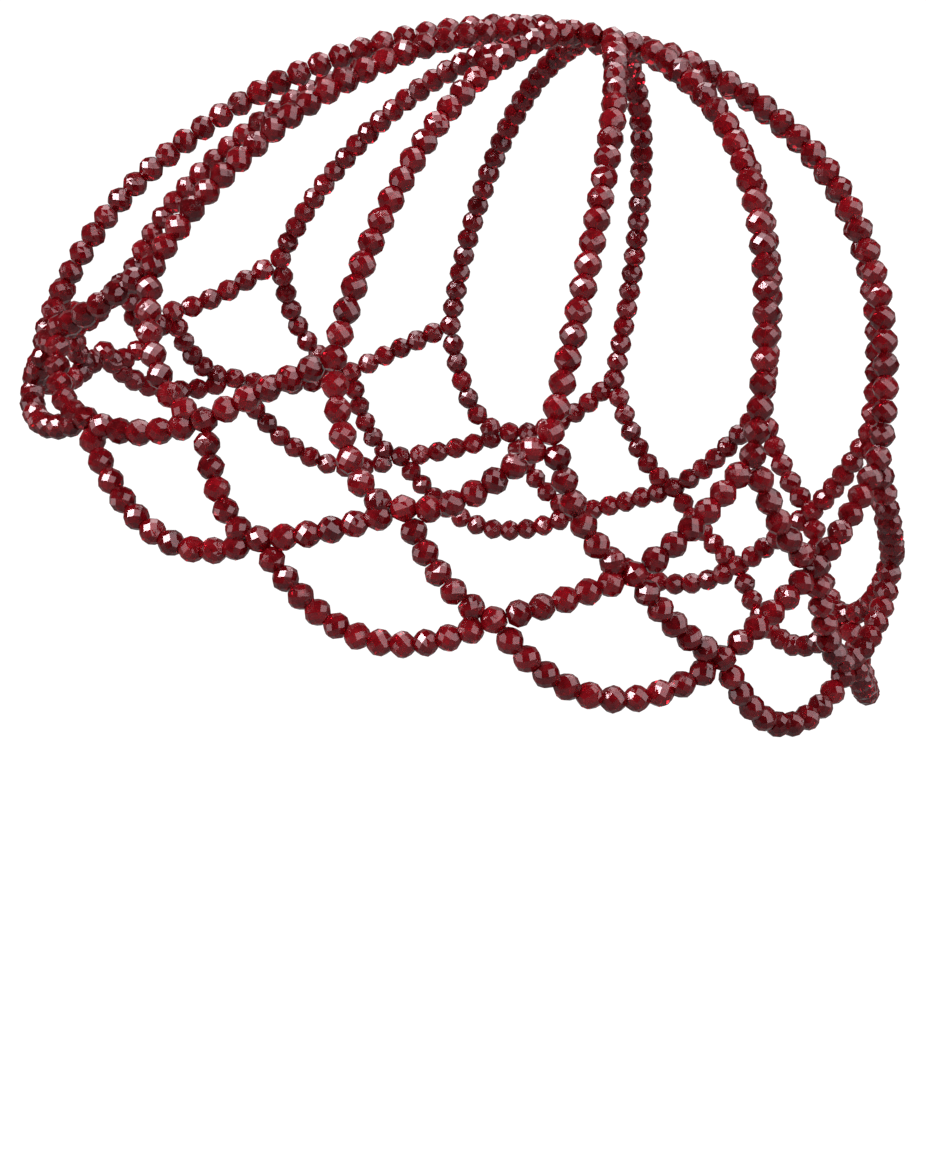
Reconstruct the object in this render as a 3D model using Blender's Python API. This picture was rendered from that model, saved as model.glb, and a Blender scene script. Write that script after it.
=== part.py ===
"""Head chain: a net cap of faceted glass rondelles, worn over the crown of the head.

Twelve strands run out from a small ring of beads at the crown. Where a strand ends, its two
threads part and cross those of its neighbours twice, in shared beads, and then hang in
scallops that make the hem. The net is modelled as it is worn, held by the crown. Metres, +Z up,
the wearer faces -Y, and the origin is where the crown of the net sits.
"""
import math

import bpy
import numpy as np

# Beads
BEAD_DIAMETER = 0.0060
BEAD_PITCH = 0.0050          # one bead's length along its thread
HOLE_FACE_DIAMETER = 0.0030  # flat face round the thread hole
BEAD_SIDES = 10
PLAIN_STRING_DIAMETER = 0.0054
PLAIN_STRING_SIDES = 8
CLEARANCE = 0.0003
TRIM_STEP = 0.0001
THREAD_LEAD = 0.0006         # bare thread between the crown ring and each strand's first bead

# The net
STRANDS = 12

# The form that the net takes on the head, measured to the middle of the beads
HALF_WIDTH = 0.0767
FRONT_REACH = 0.1132         # from the crown's axis forward
REAR_REACH = 0.0955          # from the crown's axis back
CROWN_DEPTH = 0.1297         # from the crown down to the widest level
NET_TILT = math.radians(12.5)
FRONT_SQUARENESS = 2.5       # 2 is an ellipse, and more is squarer
REAR_SQUARENESS = 1.85
LEVEL_STEP = math.radians(15)
GIRTH_LEVEL = 5              # the row of FORM_LEVELS along which turns are counted

# One row every 15 degrees down from the crown, 90 being the widest level.
# Columns: reach to the front, the side and the rear, as shares of the three sizes above.
FORM_LEVELS = np.array([
    (0.000, 0.000, 0.000),
    (0.259, 0.259, 0.325),
    (0.517, 0.501, 0.612),
    (0.747, 0.708, 0.810),
    (0.924, 0.867, 0.922),
    (1.000, 0.966, 0.960),
    (0.974, 1.000, 0.990),
    (0.918, 0.991, 1.000),
    (0.866, 0.978, 0.995),
])

# The net's knots on the wearer's left, from the forehead (turn 0) to the nape (turn 6); the
# right side mirrors them. A turn is a twelfth of the girth.
# Columns: turn, degrees down from the crown, and how many degrees the string from the knot
# down to the next crossing hangs below the shortest way, onward and back.
PARTING_KNOTS = [
    (0.50, 66.5, 4.5, 3.5),
    (1.46, 62.3, 3.4, 1.5),
    (2.57, 66.4, 3.9, 0.0),
    (3.59, 68.4, 2.5, 2.3),
    (4.53, 67.0, 1.7, 1.2),
    (5.37, 65.7, 2.0, 0.8),
]
FIRST_CROSSINGS = [
    (0.00, 72.0, 3.2, 3.2),
    (0.93, 71.5, 2.2, 3.2),
    (2.07, 75.2, 2.8, 1.3),
    (3.05, 78.3, 1.5, 0.6),
    (4.08, 79.7, 1.0, 0.2),
    (5.02, 76.9, 3.3, 0.0),
    (6.00, 77.0, 1.5, 1.5),
]
SECOND_CROSSINGS = [
    (0.47, 77.0),
    (1.40, 78.7),
    (2.44, 84.4),
    (3.53, 86.2),
    (4.58, 86.3),
    (5.47, 86.2),
]
HEM_HANGS = [3.3, 3.3, 5.3, 5.4, 5.2, 6.3, 5.3]  # of each scallop, from forehead to nape
CROWN_BEARINGS = [11.5, 34.0, 56.5, 104.0, 140.0, 168.0]  # degrees from the front, of each strand

TURNS = 12
ROUTE_SAMPLES = 160

BEAD_RADIUS = BEAD_DIAMETER / 2
RING_RADIUS = STRANDS * BEAD_PITCH / math.tau
STRAND_START_RADIUS = RING_RADIUS + BEAD_RADIUS + BEAD_PITCH / 2 + THREAD_LEAD


def between_rows(rows, level):
    """A smooth value between table rows, by Catmull-Rom; the rows continue past the crown."""
    padded = np.concatenate([[-rows[1]], rows, [2 * rows[-1] - rows[-2]]])
    place = np.clip(level / LEVEL_STEP, 0, len(rows) - 1.001)
    row = place.astype(int)
    share = place - row
    before, here, after, beyond = (padded[row + step] for step in range(4))
    slope = (after - before) / 2
    bend = before - 2.5 * here + 2 * after - beyond / 2
    turn_back = (beyond - before + 3 * (here - after)) / 2
    return here + share * (slope + share * (bend + share * turn_back))


def level_outline(angle, level):
    """Offsets to the wearer's left and to the back, round the level at an angle from the front."""
    front = FRONT_REACH * between_rows(FORM_LEVELS[:, 0], level)
    side = HALF_WIDTH * between_rows(FORM_LEVELS[:, 1], level)
    rear = REAR_REACH * between_rows(FORM_LEVELS[:, 2], level)
    sine, cosine = np.sin(angle), np.cos(angle)
    ahead = cosine > 0
    power = np.where(ahead, FRONT_SQUARENESS, REAR_SQUARENESS)
    corner = (np.abs(sine) ** power + np.abs(cosine) ** power) ** (-1 / power)
    return side * sine * corner, -np.where(ahead, front, rear) * cosine * corner


def angle_at_turn(turn):
    """The angle from the front whose place along the girth is the given number of turns."""
    angles = np.linspace(0, math.pi, 721)
    left, back = level_outline(angles, np.full(721, GIRTH_LEVEL * LEVEL_STEP))
    steps = np.hypot(np.diff(left), np.diff(back))
    along = np.concatenate([[0], np.cumsum(steps)]) / steps.sum() * TURNS / 2
    folded = (turn + TURNS / 2) % TURNS - TURNS / 2
    return np.sign(folded) * np.interp(np.abs(folded), along, angles)


def angle_at_bearing(bearing):
    """The angle at which a level near the crown is met in a direction from the front."""
    left, back = level_outline(np.array([0.0, math.pi / 2, math.pi]), np.full(3, LEVEL_STEP))
    reach = np.where(np.cos(bearing) > 0, -back[0], back[2])
    return np.arctan2(np.sin(bearing) / left[1], np.cos(bearing) / reach)


def net_to_world(left, back, down):
    """Net offsets from the crown, laid back by the net's tilt and lifted onto the crown seat."""
    across_back = np.cos(NET_TILT) * back + np.sin(NET_TILT) * (BEAD_RADIUS - down)
    up = np.cos(NET_TILT) * (BEAD_RADIUS - down) - np.sin(NET_TILT) * back
    return np.stack([left, across_back, up], axis=-1)


def form_points(angles, levels):
    """Points on the form, from angles round the head and angles down from the crown."""
    left, back = level_outline(angles, levels)
    return net_to_world(left, back, CROWN_DEPTH * (1 - np.cos(levels)))


def distances(points):
    """The distance along a line of points, from its first to each."""
    return np.concatenate([[0], np.cumsum(np.linalg.norm(np.diff(points, axis=0), axis=1))])


def points_at(route, stations):
    """The points of a route at the given distances from its start."""
    along = distances(route)
    return np.stack([np.interp(stations, along, route[:, axis]) for axis in range(3)], axis=-1)


def unwrapped(start, end):
    """The end turn counted on from the start turn, so that no line goes the long way round."""
    return start + (end - start + TURNS / 2) % TURNS - TURNS / 2


def string_route(start, end, hang):
    """A line over the form between two knots, whose middle hangs lower by some degrees."""
    share = np.linspace(0, 1, ROUTE_SAMPLES)
    turns = start[0] + (unwrapped(start[0], end[0]) - start[0]) * share
    levels = start[1] + (end[1] - start[1]) * share + 4 * hang * share * (1 - share)
    return form_points(angle_at_turn(turns), np.radians(levels))


def strand_route(turn, level, bearing):
    """The line of a strand's bead middles, from beside the crown ring to its parting knot."""
    share = np.linspace(0.04, 1, 4 * ROUTE_SAMPLES)
    low_end = angle_at_turn(turn)
    swing = angle_at_bearing(math.radians(bearing)) - low_end
    points = form_points(low_end + swing * (1 - share), math.radians(level) * share)
    crown = net_to_world(0.0, 0.0, 0.0)
    return points[np.linalg.norm(points - crown, axis=1) >= STRAND_START_RADIUS]


def mirrored_knot(knots, index):
    """The knot of a row of twelve: the first half as listed, the others from the mirror."""
    ends_on_mirror = knots[0][0] == 0
    last = TURNS if ends_on_mirror else TURNS - 1
    if index < len(knots):
        return knots[index]
    turn, level, *hangs = knots[last - index]
    return TURNS - turn, level, *reversed(hangs)


def gap_to_line(points, line):
    """The smallest distance between some points and a line of straight pieces."""
    start, step = line[:-1], np.diff(line, axis=0)
    share = np.einsum("pij,ij->pi", points[:, None] - start, step) / (step ** 2).sum(axis=1)
    nearest = start + np.clip(share, 0, 1)[..., None] * step
    return np.linalg.norm(points[:, None] - nearest, axis=2).min()


def clear_start(route, obstacles):
    """How far along a route a plain string's flat end first stands clear of the obstacles.

    Each obstacle is a line of points and a radius round it.
    """
    along = distances(route)
    radius = PLAIN_STRING_DIAMETER / 2
    turns = np.linspace(0, math.tau, 2 * PLAIN_STRING_SIDES, endpoint=False)[:, None]
    start = 0.0
    while start < along[-1] / 2:
        centre, ahead = points_at(route, np.array([start, start + 4 * TRIM_STEP]))
        axis = (ahead - centre) / np.linalg.norm(ahead - centre)
        side = np.cross(axis, (0.0, 0.0, 1.0))
        side /= np.linalg.norm(side)
        rim = centre + radius * (np.cos(turns) * side + np.sin(turns) * np.cross(axis, side))
        tip = np.concatenate([rim, [centre]])
        if all(gap_to_line(tip, line) > reach + CLEARANCE for line, reach in obstacles):
            break
        start += TRIM_STEP
    return start


def plain_points(route, start, end):
    """Tube points between two distances along a route, about two diameters apart."""
    pieces = max(1, round((end - start) / (2.2 * PLAIN_STRING_DIAMETER)))
    return points_at(route, np.linspace(start, end, pieces + 1))


def glass(name):
    material = bpy.data.materials.new(name)
    material.use_nodes = True
    shader = material.node_tree.nodes["Principled BSDF"]
    shader.inputs["Base Color"].default_value = (0.13, 0.006, 0.012, 1.0)
    shader.inputs["Roughness"].default_value = 0.08
    shader.inputs["Metallic"].default_value = 0.0
    return material


def string_object(name, points, diameter, sides, widths=None, closed=False):
    """A string as a curve with a round bevel; widths scales the diameter at each point."""
    curve = bpy.data.curves.new(name, "CURVE")
    curve.dimensions = "3D"
    curve.bevel_depth = diameter / 2
    curve.bevel_resolution = sides // 2 - 2
    curve.use_fill_caps = not closed
    spline = curve.splines.new("POLY")
    spline.points.add(len(points) - 1)
    for index, point in enumerate(points):
        spline.points[index].co = (*point, 1.0)
        spline.points[index].radius = 1.0 if widths is None else widths[index]
    spline.use_cyclic_u = closed
    curve.materials.append(glass(f"{name}_glass"))
    string = bpy.data.objects.new(name, curve)
    collection.objects.link(string)
    return string


def bead_widths(count):
    """Neck and waist widths of a run of beads, as shares of the bead's diameter."""
    return [HOLE_FACE_DIAMETER / BEAD_DIAMETER, 1.0] * count


def build_crown_ring():
    """A closed ring of beads, one for each strand, that the strands' threads pass through."""
    turns = np.arange(2 * STRANDS) * math.tau / (2 * STRANDS)
    drop = CROWN_DEPTH * (1 - math.sqrt(1 - (RING_RADIUS / HALF_WIDTH) ** 2))
    left, back = RING_RADIUS * np.sin(turns), -RING_RADIUS * np.cos(turns)
    points = net_to_world(left, back, np.full(2 * STRANDS, drop))
    string_object("crown_ring", points, BEAD_DIAMETER, BEAD_SIDES, bead_widths(STRANDS), closed=True)


def build_crown_strand(number, knot, bearing):
    """A strand filled with beads from the ring down to its parting knot, its last bead there."""
    route = strand_route(*knot[:2], bearing)
    length = distances(route)[-1]
    pitches = round(length / BEAD_PITCH)
    points = points_at(route, np.linspace(0, length, 2 * pitches + 1))
    first = 2 * points[0] - points[1]
    last = 2 * points[-1] - points[-2]
    points = np.concatenate([[first], points, [last]])
    widths = bead_widths(pitches + 1) + bead_widths(1)[:1]
    string_object(f"crown_strand_{number:02d}", points, BEAD_DIAMETER, BEAD_SIDES, widths)


def parting_bead(route):
    """The bead in which a route starts, as a short line and the radius of a ball inside it."""
    return route[[0, 0]] + [[0, 0, 0], [0, 0, TRIM_STEP]], 0.9 * BEAD_RADIUS


def build_net(partings, firsts, seconds):
    """The crossing strings below the strands, trimmed clear of each other where they meet."""
    reach = math.cos(math.pi / PLAIN_STRING_SIDES) * PLAIN_STRING_DIAMETER / 2
    upper_right, upper_left, lower_right, lower_left, hem = [], [], [], [], []
    for index in range(STRANDS):
        onward, beyond = (index + 1) % STRANDS, (index + 2) % STRANDS
        parting, next_parting = partings[index], partings[onward]
        first, next_first = firsts[onward], firsts[beyond]
        scallop = min(onward + 1, STRANDS - 1 - onward)
        upper_right.append(string_route(parting, first, parting[2]))
        upper_left.append(string_route(next_parting, first, next_parting[3]))
        lower_right.append(string_route(first, seconds[onward], first[2]))
        lower_left.append(string_route(next_first, seconds[onward], next_first[3]))
        hem.append(string_route(seconds[onward], seconds[beyond], HEM_HANGS[scallop]))
    through = []
    for index in range(STRANDS):
        onward = (index + 1) % STRANDS
        start = clear_start(upper_right[index], [parting_bead(upper_right[index])])
        end = clear_start(hem[index][::-1], [(lower_right[onward], reach), (hem[onward], reach)])
        legs = [
            plain_points(upper_right[index], start, distances(upper_right[index])[-1]),
            plain_points(lower_right[index], 0.0, distances(lower_right[index])[-1])[1:],
            plain_points(hem[index], 0.0, distances(hem[index])[-1] - end)[1:],
        ]
        through.append(np.concatenate(legs))
        string_object(f"hem_string_{index + 1:02d}", through[index], PLAIN_STRING_DIAMETER,
                      PLAIN_STRING_SIDES)
    for index in range(STRANDS):
        own, onward = (through[index], reach), (through[(index + 1) % STRANDS], reach)
        top = clear_start(upper_left[index], [parting_bead(upper_left[index]), onward])
        foot = clear_start(upper_left[index][::-1], [own])
        points = plain_points(upper_left[index], top, distances(upper_left[index])[-1] - foot)
        string_object(f"upper_cross_{index + 1:02d}", points, PLAIN_STRING_DIAMETER,
                      PLAIN_STRING_SIDES)
        top = clear_start(lower_left[index], [onward])
        foot = clear_start(lower_left[index][::-1], [own])
        points = plain_points(lower_left[index], top, distances(lower_left[index])[-1] - foot)
        string_object(f"lower_cross_{index + 1:02d}", points, PLAIN_STRING_DIAMETER,
                      PLAIN_STRING_SIDES)


for old in list(bpy.data.objects):
    bpy.data.objects.remove(old)
collection = bpy.data.collections.new("head_chain")
bpy.context.scene.collection.children.link(collection)

build_crown_ring()
parting_knots = [mirrored_knot(PARTING_KNOTS, index) for index in range(STRANDS)]
crown_bearings = CROWN_BEARINGS + [-bearing for bearing in reversed(CROWN_BEARINGS)]
for index in range(STRANDS):
    build_crown_strand(index + 1, parting_knots[index], crown_bearings[index])
first_crossings = [mirrored_knot(FIRST_CROSSINGS, index) for index in range(STRANDS)]
second_crossings = [mirrored_knot(SECOND_CROSSINGS, index) for index in range(STRANDS)]
build_net(parting_knots, first_crossings, second_crossings)
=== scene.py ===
"""Head chain of faceted garnet-red glass rondelles: a net that is worn over the crown.

Twelve strands run down from a ring of beads at the crown, part in two, and cross their
neighbours twice before they hang in the scallops of the hem. Metres, +Z up, the front is -Y.
"""
import math

import bpy
import numpy as np
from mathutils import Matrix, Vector


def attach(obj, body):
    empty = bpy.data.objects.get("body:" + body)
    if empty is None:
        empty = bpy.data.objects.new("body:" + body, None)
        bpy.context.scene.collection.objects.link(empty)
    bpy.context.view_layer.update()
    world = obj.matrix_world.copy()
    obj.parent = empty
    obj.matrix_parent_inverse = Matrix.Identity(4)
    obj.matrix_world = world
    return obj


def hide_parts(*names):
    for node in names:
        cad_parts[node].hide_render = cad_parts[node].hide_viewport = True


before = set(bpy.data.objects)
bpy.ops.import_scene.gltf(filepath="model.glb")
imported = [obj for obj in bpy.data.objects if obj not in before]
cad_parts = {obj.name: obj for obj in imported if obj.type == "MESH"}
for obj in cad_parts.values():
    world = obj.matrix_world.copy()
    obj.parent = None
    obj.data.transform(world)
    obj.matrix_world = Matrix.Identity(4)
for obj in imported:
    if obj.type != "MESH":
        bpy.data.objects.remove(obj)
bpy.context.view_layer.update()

# Crown ring: twelve faceted rondelles of dark red glass, threaded into a small closed circle at
# the top of the net. The thread of every strand is tied into it, so it carries the whole net.
STRANDS = 12
BEAD_RADIUS = 0.0030
BEAD_LENGTH = 0.00495
BEAD_PITCH = 0.0050          # from one bead's middle to the next, on a tight string
BEAD_SIDES = 8
# Columns: place along the bead as a share of its length, radius, and half steps of turn.
BEAD_RINGS = [
    (-0.500, 0.00155, 1),    # rim of the thread's hole
    (-0.350, 0.00225, 1),    # neck
    (-0.190, 0.00277, 0),    # shoulder
    (0.000, BEAD_RADIUS, 1),
    (0.190, 0.00277, 0),
    (0.350, 0.00225, 1),
    (0.500, 0.00155, 1),
]
BEAD_LEAN = 0.04             # of each axis, as a tangent
NARROWEST = 0.97             # width of the narrowest bead, as a share of the widest
RING_RADIUS = STRANDS * BEAD_PITCH / math.tau
HALF_WIDTH = 0.0767          # of the whole net, at its widest level
CROWN_DEPTH = 0.1297         # from the crown down to that level
NET_TILT = math.radians(12.5)
DEEP_RED = (0.095, 0.0012, 0.0030, 1)
CLEAR_RED = (0.40, 0.0068, 0.015, 1)
ROSE_SHINE = (1.0, 0.72, 0.78, 1)
SHADE_WEIGHT = 0.3           # of a bead's own shade against the streaks
RING_SEED = 1


def rondelle():
    """One bead round the x axis: its corners, and its faces as rows of corner numbers.

    A corner is (share * length, radius * cos(turn), radius * sin(turn)) for each row of
    BEAD_RINGS. The shoulders lie half a step round from the other rings, so that the waist is
    a row of eight flat lozenges with a row of flat kites on either side of it. Triangles and
    flat-sided bevels close the bead in to its rims.
    """
    half_step = math.pi / BEAD_SIDES
    share, radius, shifted = np.array(BEAD_RINGS).T[:, :, None]
    turned = np.arange(BEAD_SIDES) * 2 * half_step + shifted * half_step
    along = np.broadcast_to(share * BEAD_LENGTH, turned.shape)
    corners = np.stack([along, radius * np.cos(turned), radius * np.sin(turned)], axis=-1)
    here = np.arange(BEAD_SIDES)
    next_one = (here + 1) % BEAD_SIDES
    rim_a, neck_a, low, waist, high, neck_b, rim_b = np.arange(len(BEAD_RINGS)) * BEAD_SIDES
    blocks = [[waist + here, low + next_one, waist + next_one, high + next_one],
              [low + here, neck_a + here, low + next_one, waist + here],
              [high + next_one, neck_b + here, high + here, waist + here],
              [low + next_one, neck_a + here, neck_a + next_one],
              [neck_b + here, high + next_one, neck_b + next_one],
              [neck_a + next_one, neck_a + here, rim_a + here, rim_a + next_one],
              [neck_b + here, neck_b + next_one, rim_b + next_one, rim_b + here]]
    faces = [row for block in blocks for row in np.stack(block, axis=1).tolist()]
    faces.append((rim_a + here[::-1]).tolist())
    faces.append((rim_b + here).tolist())
    return corners.reshape(-1, 3), faces


bead_corners, bead_faces = rondelle()


def strung_beads(name, centres, axes, seed, stretch=1.0):
    """A run of beads as one mesh: the same bead at each centre, turned to its axis.

    A corner is the centre + x * axis * stretch + (y * across + z * third) * width, where across
    points in a chance direction square to the axis, so that each bead is spun round its thread
    as it falls. Each bead leans a little, and has a shade of its own in the attribute "shade".
    """
    chance = np.random.default_rng(seed)
    count = len(centres)
    axes = axes + BEAD_LEAN * chance.normal(size=(count, 3))
    axes /= np.linalg.norm(axes, axis=1, keepdims=True)
    across = np.cross(axes, chance.normal(size=(count, 3)))
    across /= np.linalg.norm(across, axis=1, keepdims=True)
    width = chance.uniform(NARROWEST, 1.0, size=(count, 1))
    length = np.broadcast_to(stretch, count)[:, None]
    frames = np.stack([axes * length, across * width, np.cross(axes, across) * width], axis=1)
    corners = np.einsum("vi,nij->nvj", bead_corners, frames) + centres[:, None]
    per_bead = len(bead_corners)
    rows = np.concatenate(bead_faces) + per_bead * np.arange(count)[:, None]
    face_ends = np.cumsum(np.tile([len(face) for face in bead_faces], count))
    faces = np.split(rows.ravel(), face_ends[:-1])
    mesh = bpy.data.meshes.new(name)
    mesh.from_pydata(corners.reshape(-1, 3), [], faces)
    shade = mesh.attributes.new("shade", "FLOAT", "POINT")
    shade.data.foreach_set("value", np.repeat(chance.uniform(0, 1, count), per_bead))
    beads = bpy.data.objects.new(name, mesh)
    bpy.context.scene.collection.objects.link(beads)
    return beads


def net_to_world(left, back, down):
    """Net offsets from the crown, lifted by a bead's radius and turned back by the net's tilt.

    Height is radius - down. Then y = cos * back + sin * height and z = cos * height - sin * back.
    """
    height = BEAD_RADIUS - down
    y = np.cos(NET_TILT) * back + np.sin(NET_TILT) * height
    z = np.cos(NET_TILT) * height - np.sin(NET_TILT) * back
    return np.stack([left, y, z], axis=-1)


garnet = bpy.data.materials.new("garnet_glass")
garnet.use_nodes = True
tree = garnet.node_tree
glass = tree.nodes["Principled BSDF"]
glass.inputs["IOR"].default_value = 1.58
glass.inputs["Metallic"].default_value = 0.0
glass.inputs["Transmission Weight"].default_value = 0.78
glass.inputs["Specular Tint"].default_value = ROSE_SHINE
# Each bead's own shade, and faint streaks in the glass, move it between a deep and a clear red.
place = tree.nodes.new("ShaderNodeTexCoord")
bead_shade = tree.nodes.new("ShaderNodeAttribute")
bead_shade.attribute_name = "shade"
streaks = tree.nodes.new("ShaderNodeTexNoise")
streaks.inputs["Scale"].default_value = 420
streaks.inputs["Detail"].default_value = 3
tree.links.new(place.outputs["Object"], streaks.inputs["Vector"])
depth = tree.nodes.new("ShaderNodeMath")
depth.operation = "MULTIPLY_ADD"
depth.inputs[1].default_value = SHADE_WEIGHT
tree.links.new(bead_shade.outputs["Fac"], depth.inputs[0])
tree.links.new(streaks.outputs["Fac"], depth.inputs[2])
reds = tree.nodes.new("ShaderNodeValToRGB")
reds.color_ramp.elements[0].position = 0.35
reds.color_ramp.elements[0].color = DEEP_RED
reds.color_ramp.elements[1].position = 0.95
reds.color_ramp.elements[1].color = CLEAR_RED
tree.links.new(depth.outputs[0], reds.inputs["Fac"])
tree.links.new(reds.outputs["Color"], glass.inputs["Base Color"])
# Smears from the polishing make the facets a little uneven in gloss and in level.
smears = tree.nodes.new("ShaderNodeTexNoise")
smears.inputs["Scale"].default_value = 700
tree.links.new(place.outputs["Object"], smears.inputs["Vector"])
polish = tree.nodes.new("ShaderNodeMapRange")
polish.inputs["From Min"].default_value = 0.35
polish.inputs["From Max"].default_value = 0.75
polish.inputs["To Min"].default_value = 0.04
polish.inputs["To Max"].default_value = 0.14
ripple = tree.nodes.new("ShaderNodeBump")
ripple.inputs["Strength"].default_value = 0.25
ripple.inputs["Distance"].default_value = 0.0001
tree.links.new(smears.outputs["Fac"], ripple.inputs["Height"])
tree.links.new(ripple.outputs["Normal"], glass.inputs["Normal"])
tree.links.new(smears.outputs["Fac"], polish.inputs["Value"])
tree.links.new(polish.outputs["Result"], glass.inputs["Roughness"])

ring_angles = np.arange(STRANDS) * math.tau / STRANDS + math.pi / STRANDS
ring_drop = CROWN_DEPTH * (1 - math.sqrt(1 - (RING_RADIUS / HALF_WIDTH) ** 2))
ring_centres = net_to_world(RING_RADIUS * np.sin(ring_angles), -RING_RADIUS * np.cos(ring_angles),
                            np.full(STRANDS, ring_drop))
ring_axes = np.roll(ring_centres, -1, axis=0) - np.roll(ring_centres, 1, axis=0)
ring_axes /= np.linalg.norm(ring_axes, axis=1, keepdims=True)
crown_ring = strung_beads("crown_ring_beads", ring_centres, ring_axes, RING_SEED)
crown_ring.data.materials.append(garnet)
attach(crown_ring, "root")
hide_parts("crown_ring")

# Crown strands: twelve single strings of the same glass rondelles, strung tight so that each
# bead touches the next. Each runs from beside the ring, where its thread is tied in, down to
# the bead where its two threads part.
FRONT_REACH = 0.1132         # from the crown's axis forward
REAR_REACH = 0.0955          # from the crown's axis back
FRONT_SQUARENESS = 2.5       # 2 is an ellipse, and more is squarer
REAR_SQUARENESS = 1.85
LEVEL_STEP = math.radians(15)
GIRTH_LEVEL = 5              # the row of FORM_LEVELS along which turns are counted
TURNS = 12
GIRTH_SAMPLES = 721
ROUTE_SAMPLES = 160
ROUTE_TOP = 0.04             # share of a strand's angle down from the crown where it begins
THREAD_LEAD = 0.0006         # bare thread between the ring and a strand's first bead
HALF_SIGHT = 0.0005          # half the stretch of string over which its direction is read
STRAND_START_RADIUS = RING_RADIUS + BEAD_RADIUS + BEAD_PITCH / 2 + THREAD_LEAD
STRAND_SEED = 100
# One row every 15 degrees down from the crown.
# Columns: shares of FRONT_REACH, HALF_WIDTH and REAR_REACH.
FORM_LEVELS = np.array([
    (0.000, 0.000, 0.000),
    (0.259, 0.259, 0.325),
    (0.517, 0.501, 0.612),
    (0.747, 0.708, 0.810),
    (0.924, 0.867, 0.922),
    (1.000, 0.966, 0.960),
    (0.974, 1.000, 0.990),
    (0.918, 0.991, 1.000),
    (0.866, 0.978, 0.995),
])
# The beads where the threads part, on the left; the right mirrors them. Columns: twelfths of
# the girth from the front, degrees down from the crown, and how many degrees the string to the
# next crossing hangs below the shortest way, onward and back.
PARTING_KNOTS = [
    (0.50, 66.5, 4.5, 3.5),
    (1.46, 62.3, 3.4, 1.5),
    (2.57, 66.4, 3.9, 0.0),
    (3.59, 68.4, 2.5, 2.3),
    (4.53, 67.0, 1.7, 1.2),
    (5.37, 65.7, 2.0, 0.8),
]
# Degrees from the front at which the strands on the left leave the crown.
CROWN_BEARINGS = [11.5, 34.0, 56.5, 104.0, 140.0, 168.0]


def between_rows(rows, level):
    """A smooth value between table rows, by Catmull-Rom.

    It is the cubic through two rows whose slope at each is half the difference of the rows on
    either side. The rows are mirrored past the crown and run straight on past the last, and a
    level stays just short of the last row, so that there is always a row ahead of it.
    """
    padded = np.concatenate([[-rows[1]], rows, [2 * rows[-1] - rows[-2]]])
    spot = np.clip(level / LEVEL_STEP, 0, len(rows) - 1.001)
    row = spot.astype(int)
    share = spot - row
    before, here, after, beyond = (padded[row + step] for step in range(4))
    slope = (after - before) / 2
    bend = before - 2.5 * here + 2 * after - beyond / 2
    turn_back = (beyond - before + 3 * (here - after)) / 2
    return here + share * (slope + share * (bend + share * turn_back))


def level_outline(angle, level):
    """Offsets to the left and back round a level: an oval |x/side|^n + |y/reach|^n = 1.

    The power n is the squareness, and the reach is the front's or the rear's.
    """
    front = FRONT_REACH * between_rows(FORM_LEVELS[:, 0], level)
    side = HALF_WIDTH * between_rows(FORM_LEVELS[:, 1], level)
    rear = REAR_REACH * between_rows(FORM_LEVELS[:, 2], level)
    sine, cosine = np.sin(angle), np.cos(angle)
    ahead = cosine > 0
    power = np.where(ahead, FRONT_SQUARENESS, REAR_SQUARENESS)
    corner = (np.abs(sine) ** power + np.abs(cosine) ** power) ** (-1 / power)
    return side * sine * corner, -np.where(ahead, front, rear) * cosine * corner


def angle_at_turn(turn):
    """The angle from the front whose place along the girth is the given number of turns.

    The girth is summed over short steps from front to rear, and the angle read back from it.
    """
    angles = np.linspace(0, math.pi, GIRTH_SAMPLES)
    left, back = level_outline(angles, np.full(GIRTH_SAMPLES, GIRTH_LEVEL * LEVEL_STEP))
    steps = np.hypot(np.diff(left), np.diff(back))
    along = np.concatenate([[0], np.cumsum(steps)]) / steps.sum() * TURNS / 2
    folded = (turn + TURNS / 2) % TURNS - TURNS / 2
    return np.sign(folded) * np.interp(np.abs(folded), along, angles)


def angle_at_bearing(bearing):
    """The angle at which a level near the crown is met in a direction from the front."""
    left, back = level_outline(np.array([0.0, math.pi / 2, math.pi]), np.full(3, LEVEL_STEP))
    reach = np.where(np.cos(bearing) > 0, -back[0], back[2])
    return np.arctan2(np.sin(bearing) / left[1], np.cos(bearing) / reach)


def form_points(angles, levels):
    """Points on the form: the oval of each level, at depth * (1 - cos(level)) below the crown."""
    left, back = level_outline(angles, levels)
    return net_to_world(left, back, CROWN_DEPTH * (1 - np.cos(levels)))


def distances(points):
    """The distance along a line of points, from its first to each."""
    return np.concatenate([[0], np.cumsum(np.linalg.norm(np.diff(points, axis=0), axis=1))])


def points_at(route, stations):
    """The points of a route at the given distances from its start."""
    along = distances(route)
    return np.stack([np.interp(stations, along, route[:, axis]) for axis in range(3)], axis=-1)


def directions_at(route, stations):
    """The unit direction of a route at the given distances, from a point ahead and one behind."""
    length = distances(route)[-1]
    ahead = points_at(route, np.minimum(stations + HALF_SIGHT, length))
    behind = points_at(route, np.maximum(stations - HALF_SIGHT, 0.0))
    return (ahead - behind) / np.linalg.norm(ahead - behind, axis=1, keepdims=True)


def strand_route(turn, level, bearing):
    """The line of a strand's bead middles: the angle and the level change evenly downwards."""
    share = np.linspace(ROUTE_TOP, 1, 4 * ROUTE_SAMPLES)
    low_end = angle_at_turn(turn)
    swing = angle_at_bearing(math.radians(bearing)) - low_end
    points = form_points(low_end + swing * (1 - share), math.radians(level) * share)
    crown = net_to_world(0.0, 0.0, 0.0)
    return points[np.linalg.norm(points - crown, axis=1) >= STRAND_START_RADIUS]


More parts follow.
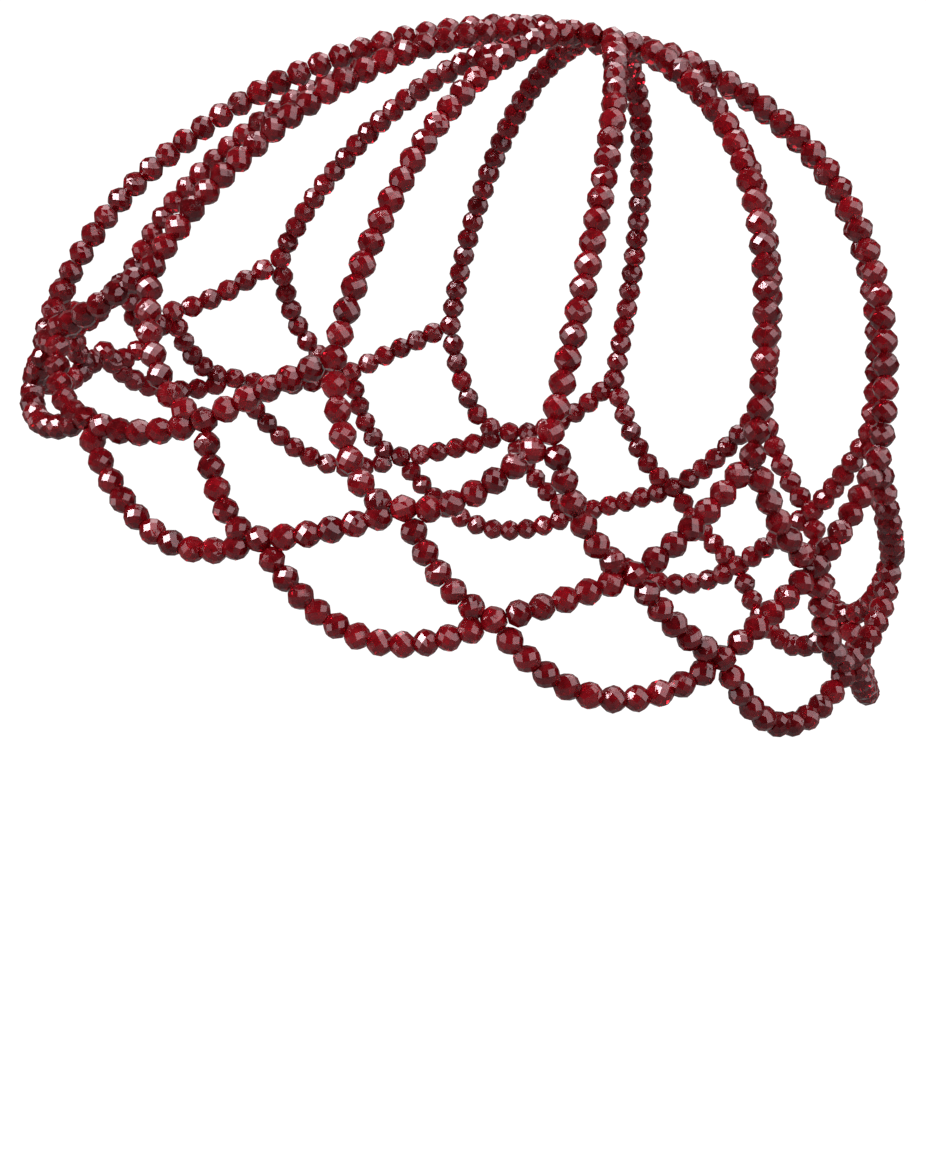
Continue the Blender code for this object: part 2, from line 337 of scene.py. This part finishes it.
def mirrored_knot(knots, index):
    """The knot of a row of twelve: the first half as listed, the others from the mirror.

    A mirrored knot stands at twelve turns less the listed knot's, and swaps its two hangs.
    """
    last = TURNS if knots[0][0] == 0 else TURNS - 1
    if index < len(knots):
        return knots[index]
    turn, level, *hangs = knots[last - index]
    return TURNS - turn, level, *reversed(hangs)


partings = [mirrored_knot(PARTING_KNOTS, index) for index in range(STRANDS)]
bearings = CROWN_BEARINGS + [-bearing for bearing in reversed(CROWN_BEARINGS)]
strand_routes = [strand_route(*knot[:2], bearing) for knot, bearing in zip(partings, bearings)]
for index, route in enumerate(strand_routes):
    length = distances(route)[-1]
    stations = np.linspace(0, length, round(length / BEAD_PITCH) + 1)
    strand = strung_beads(f"crown_strand_{index + 1:02d}_beads", points_at(route, stations),
                          directions_at(route, stations), STRAND_SEED + index)
    strand.data.materials.append(garnet)
    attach(strand, "root")
    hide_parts(f"crown_strand_{index + 1:02d}")

# Hem strings: glass rondelles on one of the two threads that leave a parting bead. Each runs
# through its two crossing beads and on along one scallop of the hem, and the other threads
# cross it inside the same crossing beads, which hold the net together.
FIRST_CROSSINGS = [          # the same columns as for the parting beads
    (0.00, 72.0, 3.2, 3.2),
    (0.93, 71.5, 2.2, 3.2),
    (2.07, 75.2, 2.8, 1.3),
    (3.05, 78.3, 1.5, 0.6),
    (4.08, 79.7, 1.0, 0.2),
    (5.02, 76.9, 3.3, 0.0),
    (6.00, 77.0, 1.5, 1.5),
]
SECOND_CROSSINGS = [         # the first two of those columns
    (0.47, 77.0),
    (1.40, 78.7),
    (2.44, 84.4),
    (3.53, 86.2),
    (4.58, 86.3),
    (5.47, 86.2),
]
HEM_HANGS = [3.3, 3.3, 5.3, 5.4, 5.2, 6.3, 5.3]  # degrees, from the front scallop round
KNOT_SPACES = 1.06           # from a knot's bead to the next bead's middle, in pitches
KNOT_SIGHT = 20              # points along each string over which a knot bead's axis is read
HEM_SEED = 200


def unwrapped(start, end):
    """The end turn counted on from the start: the difference is brought within half a round."""
    return start + (end - start + TURNS / 2) % TURNS - TURNS / 2


def string_route(start, end, hang):
    """A line over the form between two knots, lowered by a parabola of hang degrees."""
    share = np.linspace(0, 1, ROUTE_SAMPLES)
    turns = start[0] + (unwrapped(start[0], end[0]) - start[0]) * share
    levels = start[1] + (end[1] - start[1]) * share + 4 * hang * share * (1 - share)
    return form_points(angle_at_turn(turns), np.radians(levels))


def run_between_knots(route):
    """Stations of the beads that fill a route between its two knot beads, and their stretch.

    The number of spaces is the whole number nearest to length / pitch - 2 * KNOT_SPACES, and
    the pitch is then length / (spaces + 2 * KNOT_SPACES), so that every bead meets the next.
    """
    length = distances(route)[-1]
    spaces = round(length / BEAD_PITCH - 2 * KNOT_SPACES)
    pitch = length / (spaces + 2 * KNOT_SPACES)
    return length / 2 + pitch * (np.arange(spaces + 1) - spaces / 2), pitch / BEAD_PITCH


def chain_beads(name, legs, knots, seed):
    """Beads along each leg, with a knot bead of its own axis at each knot."""
    centres, axes, stretches = [], [], []
    for route in legs:
        stations, stretch = run_between_knots(route)
        centres.append(points_at(route, stations))
        axes.append(directions_at(route, stations))
        stretches.append(np.full(len(stations), stretch))
    for centre, axis in knots:
        centres.append(centre[None])
        axes.append(axis[None])
        stretches.append(np.ones(1))
    beads = strung_beads(name, np.concatenate(centres), np.concatenate(axes), seed,
                         np.concatenate(stretches))
    beads.data.materials.append(garnet)
    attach(beads, "root")
    return beads


firsts = [mirrored_knot(FIRST_CROSSINGS, index) for index in range(STRANDS)]
seconds = [mirrored_knot(SECOND_CROSSINGS, index) for index in range(STRANDS)]
upper_right, upper_left, lower_right, lower_left, hem = [], [], [], [], []
for index in range(STRANDS):
    onward, beyond = (index + 1) % STRANDS, (index + 2) % STRANDS
    scallop = min(onward + 1, STRANDS - 1 - onward)
    upper_right.append(string_route(partings[index], firsts[onward], partings[index][2]))
    upper_left.append(string_route(partings[onward], firsts[onward], partings[onward][3]))
    lower_right.append(string_route(firsts[onward], seconds[onward], firsts[onward][2]))
    lower_left.append(string_route(firsts[beyond], seconds[onward], firsts[beyond][3]))
    hem.append(string_route(seconds[onward], seconds[beyond], HEM_HANGS[scallop]))
for index in range(STRANDS):
    before = (index - 1) % STRANDS
    first_axis = (upper_right[index][-KNOT_SIGHT] + upper_left[index][-KNOT_SIGHT]
                  - lower_right[index][KNOT_SIGHT] - lower_left[before][KNOT_SIGHT])
    second_axis = (lower_right[index][-KNOT_SIGHT] + lower_left[index][-KNOT_SIGHT]
                   - hem[index][KNOT_SIGHT] - hem[before][-KNOT_SIGHT])
    hem_string = chain_beads(
        f"hem_string_{index + 1:02d}_beads",
        [upper_right[index], lower_right[index], hem[index]],
        [(upper_right[index][-1], first_axis / np.linalg.norm(first_axis)),
         (lower_right[index][-1], second_axis / np.linalg.norm(second_axis))],
        HEM_SEED + index)
    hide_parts(f"hem_string_{index + 1:02d}")

# Upper and lower crosses: glass rondelles on the other thread of each parting bead. The thread
# runs down through its first crossing bead, and on from there to its second.
UPPER_SEED = 300
LOWER_SEED = 400

for index in range(STRANDS):
    upper_cross = chain_beads(f"upper_cross_{index + 1:02d}_beads", [upper_left[index]], [],
                              UPPER_SEED + index)
    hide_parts(f"upper_cross_{index + 1:02d}")
    lower_cross = chain_beads(f"lower_cross_{index + 1:02d}_beads", [lower_left[index]], [],
                              LOWER_SEED + index)
    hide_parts(f"lower_cross_{index + 1:02d}")

# Thread: 0.4 mm twisted nylon, dyed to match, that runs through every bead. It is tied into
# the ring, and shows only in the narrow spaces between the beads.
THREAD_RADIUS = 0.0002
THREAD_SIDES = 6
THREAD_THINNING = 8          # route points per point of thread
SIDEWAYS = (0.31, 0.17, 0.93)  # a direction that no thread runs along
DARK_PLY = (0.16, 0.006, 0.012, 1)
LIGHT_PLY = (0.40, 0.020, 0.035, 1)

nylon = bpy.data.materials.new("garnet_thread")
nylon.use_nodes = True
tree = nylon.node_tree
fibre = tree.nodes["Principled BSDF"]
fibre.inputs["Metallic"].default_value = 0.0
fibre.inputs["Sheen Weight"].default_value = 0.3
place = tree.nodes.new("ShaderNodeTexCoord")
plies = tree.nodes.new("ShaderNodeTexWave")
plies.bands_direction = "DIAGONAL"
plies.inputs["Scale"].default_value = 1100
plies.inputs["Distortion"].default_value = 2.5
plies.inputs["Detail"].default_value = 2
tree.links.new(place.outputs["Object"], plies.inputs["Vector"])
dye = tree.nodes.new("ShaderNodeValToRGB")
dye.color_ramp.elements[0].color = DARK_PLY
dye.color_ramp.elements[1].color = LIGHT_PLY
tree.links.new(plies.outputs["Fac"], dye.inputs["Fac"])
tree.links.new(dye.outputs["Color"], fibre.inputs["Base Color"])
wear = tree.nodes.new("ShaderNodeMapRange")
wear.inputs["To Min"].default_value = 0.45
wear.inputs["To Max"].default_value = 0.70
tree.links.new(plies.outputs["Fac"], wear.inputs["Value"])
tree.links.new(wear.outputs["Result"], fibre.inputs["Roughness"])
twist = tree.nodes.new("ShaderNodeBump")
twist.inputs["Strength"].default_value = 0.5
twist.inputs["Distance"].default_value = 0.00005
tree.links.new(plies.outputs["Fac"], twist.inputs["Height"])
tree.links.new(twist.outputs["Normal"], fibre.inputs["Normal"])


def thread_tube(path):
    """Corners and faces of a closed tube: path + radius * (cos(turn) * side + sin(turn) * up).

    The side is square to the path and to SIDEWAYS, and up is square to the side and the path.
    """
    step = np.gradient(path, axis=0)
    side = np.cross(step, SIDEWAYS)
    side /= np.linalg.norm(side, axis=1, keepdims=True)
    up = np.cross(side, step)
    up /= np.linalg.norm(up, axis=1, keepdims=True)
    turns = (np.arange(THREAD_SIDES) * math.tau / THREAD_SIDES)[None, :, None]
    spokes = np.cos(turns) * side[:, None] + np.sin(turns) * up[:, None]
    grid = path[:, None] + THREAD_RADIUS * spokes
    first = np.arange(len(path) - 1)[:, None] * THREAD_SIDES
    here = np.arange(THREAD_SIDES)
    next_one = (here + 1) % THREAD_SIDES
    walls = np.stack([first + next_one, first + here, first + THREAD_SIDES + here,
                      first + THREAD_SIDES + next_one], axis=-1).reshape(-1, 4)
    ends = [here.tolist(), (here[::-1] + (len(path) - 1) * THREAD_SIDES).tolist()]
    return grid.reshape(-1, 3), walls.tolist() + ends


def thinned(route):
    """One point of a route in THREAD_THINNING, and its last."""
    return np.concatenate([route[:-1:THREAD_THINNING], route[-1:]])


threads = {"crown_ring_thread": np.concatenate([ring_centres, ring_centres[:1]])}
for index in range(STRANDS):
    number = f"{index + 1:02d}"
    strand_line = thinned(strand_routes[index])
    nearest = np.argmin(np.linalg.norm(ring_centres - strand_line[0], axis=1))
    threads[f"crown_strand_{number}_thread"] = np.concatenate(
        [ring_centres[nearest:nearest + 1], strand_line])
    threads[f"hem_string_{number}_thread"] = np.concatenate(
        [upper_right[index][:-1:THREAD_THINNING], lower_right[index][:-1:THREAD_THINNING],
         thinned(hem[index])])
    threads[f"upper_cross_{number}_thread"] = thinned(upper_left[index])
    threads[f"lower_cross_{number}_thread"] = thinned(lower_left[index])
for name, path in threads.items():
    corners, faces = thread_tube(path)
    mesh = bpy.data.meshes.new(name)
    mesh.from_pydata(corners, [], faces)
    mesh.materials.append(nylon)
    thread = bpy.data.objects.new(name, mesh)
    bpy.context.scene.collection.objects.link(thread)
    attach(thread, "root")

# Studio paper: a roll of pale paper that hangs as the background and runs forward as the
# floor. It looks white, but lends the glass little light, so that the beads keep their dark
# edges.
SWEEP_FLOOR = -0.50
SWEEP_FRONT = 2.5
SWEEP_HALF_WIDTH = 2.5
BEND_START = -1.2            # where the floor begins to rise
BEND_DEPTH = 0.7
BEND_HEIGHT = 0.8
WALL_TOP = 3.0               # above the floor
FLOOR_ROWS = 9
BEND_ROWS = 16


def sweep_points():
    """Rows of the paper from front to top: a flat floor, a quarter ellipse, and a wall.

    The ellipse is start - depth * sin(turn) back, and height * (1 - cos(turn)) up.
    """
    bend = np.linspace(0, math.pi / 2, BEND_ROWS)
    floor = np.stack([np.linspace(SWEEP_FRONT, BEND_START, FLOOR_ROWS),
                      np.zeros(FLOOR_ROWS)], axis=1)
    curve = np.stack([BEND_START - BEND_DEPTH * np.sin(bend),
                      BEND_HEIGHT * (1 - np.cos(bend))], axis=1)
    profile = np.concatenate([floor[:-1], curve, [(BEND_START - BEND_DEPTH, WALL_TOP)]])
    edges = np.array([-SWEEP_HALF_WIDTH, SWEEP_HALF_WIDTH])
    grid = np.empty((2, len(profile), 3))
    grid[..., 0] = profile[:, 0]
    grid[..., 1] = edges[:, None]
    grid[..., 2] = SWEEP_FLOOR + profile[:, 1]
    return grid


sweep_grid = sweep_points()
rows = sweep_grid.shape[1]
row = np.arange(rows - 1)
sweep_mesh = bpy.data.meshes.new("pale_sweep")
sweep_mesh.from_pydata(sweep_grid.reshape(-1, 3), [],
                       np.stack([row, row + rows, row + rows + 1, row + 1], axis=1).tolist())
sweep = bpy.data.objects.new("pale_sweep", sweep_mesh)
bpy.context.scene.collection.objects.link(sweep)
paper = bpy.data.materials.new("white_paper")
paper.use_nodes = True
tree = paper.node_tree
sheet = tree.nodes["Principled BSDF"]
sheet.inputs["Base Color"].default_value = (0.06, 0.06, 0.06, 1)
sheet.inputs["Roughness"].default_value = 0.9
sheet.inputs["Emission Color"].default_value = (1, 1, 1, 1)
seen = tree.nodes.new("ShaderNodeLightPath")
glow = tree.nodes.new("ShaderNodeMapRange")
glow.inputs["To Min"].default_value = 0.17
tree.links.new(seen.outputs["Is Camera Ray"], glow.inputs["Value"])
tree.links.new(glow.outputs["Result"], sheet.inputs["Emission Strength"])
sweep_mesh.materials.append(paper)

# Room and lights: a dim room, as pale as the paper where it is seen past it, and four square
# soft lights on stands round the net, all turned to its middle.
LIGHT_AIM = (0, 0, -0.05)

world = bpy.data.worlds.new("studio_world")
bpy.context.scene.world = world
world.use_nodes = True
tree = world.node_tree
dim_room = tree.nodes["Background"]
dim_room.inputs["Color"].default_value = (1, 1, 1, 1)
dim_room.inputs["Strength"].default_value = 0.05
pale_room = tree.nodes.new("ShaderNodeBackground")
pale_room.inputs["Color"].default_value = (1, 1, 1, 1)
pale_room.inputs["Strength"].default_value = 1.0
seen = tree.nodes.new("ShaderNodeLightPath")
room = tree.nodes.new("ShaderNodeMixShader")
tree.links.new(seen.outputs["Is Camera Ray"], room.inputs["Fac"])
tree.links.new(dim_room.outputs["Background"], room.inputs[1])
tree.links.new(pale_room.outputs["Background"], room.inputs[2])
tree.links.new(room.outputs["Shader"], tree.nodes["World Output"].inputs["Surface"])


def soft_light(name, spot, size, power):
    """A square soft light at a spot, whose face is square to the line from there to its aim."""
    lamp = bpy.data.lights.new(name, "AREA")
    lamp.size = size
    lamp.energy = power
    light = bpy.data.objects.new(name, lamp)
    light.location = spot
    light.rotation_euler = (Vector(LIGHT_AIM) - Vector(spot)).to_track_quat("-Z", "Y").to_euler()
    bpy.context.scene.collection.objects.link(light)


soft_light("key_softbox", (0.75, -0.65, 0.75), 0.6, 30)
soft_light("side_softbox", (0.75, 1.4, 0.9), 2.8, 78)
soft_light("left_softbox", (0.7, -1.4, 0.0), 1.0, 8)
soft_light("top_softbox", (-0.3, 0.0, 1.1), 0.9, 12)
bpy.context.scene.view_settings.view_transform = "Standard"

# Camera: a long lens just under half a metre from the left side of the net, which looks a
# little downwards at it, at the photograph's viewing angle.
CAMERA_PLACE = (0.4566, 0.0443, -0.0397)
CAMERA_DIP = 0.1778          # radians below the level
CAMERA_BEARING = 1.7372      # radians from the back, anticlockwise
camera_data = bpy.data.cameras.new("camera")
camera_data.sensor_fit = "VERTICAL"
camera_data.sensor_height = 36
camera_data.lens = 60.7
camera = bpy.data.objects.new("camera", camera_data)
camera.location = CAMERA_PLACE
camera.rotation_euler = (math.pi / 2 - CAMERA_DIP, 0, CAMERA_BEARING)
bpy.context.scene.collection.objects.link(camera)
bpy.context.scene.camera = camera
